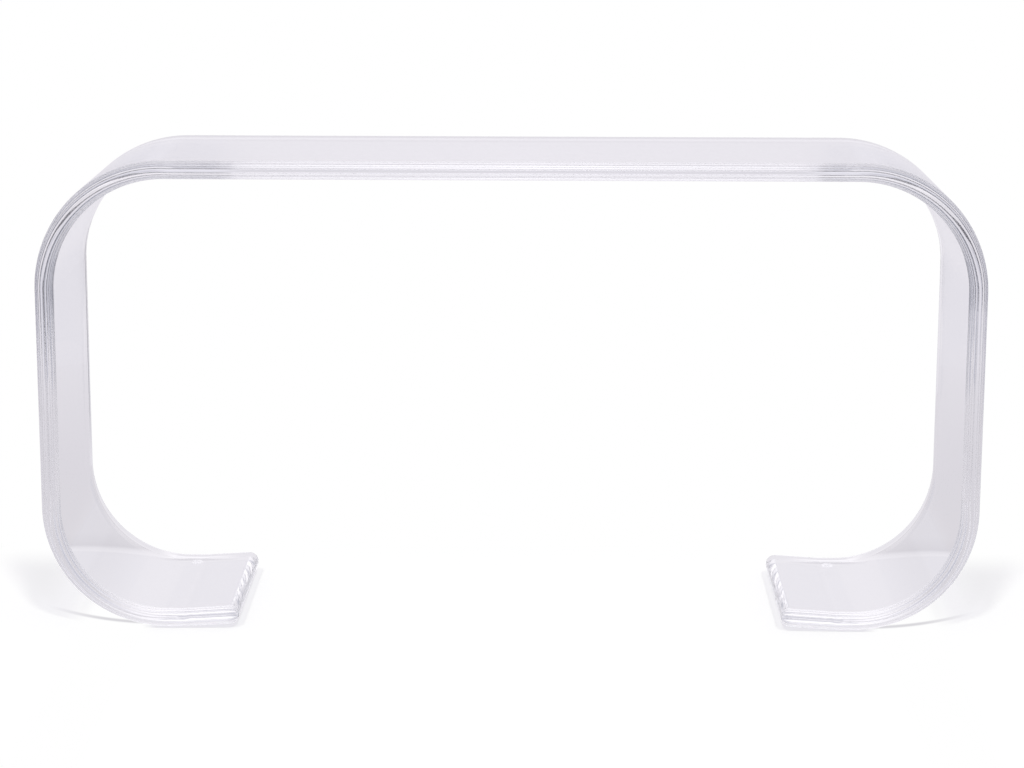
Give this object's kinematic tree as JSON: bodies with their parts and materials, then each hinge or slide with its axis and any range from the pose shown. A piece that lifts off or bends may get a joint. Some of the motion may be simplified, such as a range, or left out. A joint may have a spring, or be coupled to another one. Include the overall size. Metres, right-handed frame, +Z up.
{
  "type": "console table",
  "caption": "Clear acrylic console table: a thick sheet bent into a C, with a flat top, upright legs and short inward feet on clear pads.",
  "frame": {"origin": "on the floor, under the middle of the top", "axes": "+X to the right along the top, +Y to the back along the depth of the sheet, +Z up"},
  "size_m": [1.506, 0.346, 0.762],
  "materials": {
    "clear_acrylic": "polished clear acrylic with a faint lavender tint",
    "clear_polyurethane": "clear soft polyurethane, slightly satin",
    "clear_adhesive": "clear adhesive film"
  },
  "bodies": {
    "root": {"bent_sheet": "clear_acrylic", "floor_pad_left_front": "clear_polyurethane", "floor_pad_left_back": "clear_polyurethane", "floor_pad_right_front": "clear_polyurethane", "floor_pad_right_back": "clear_polyurethane", "adhesive_film_left_front": "clear_adhesive", "adhesive_film_left_back": "clear_adhesive", "adhesive_film_right_front": "clear_adhesive", "adhesive_film_right_back": "clear_adhesive"}
  },
  "joints": []
}
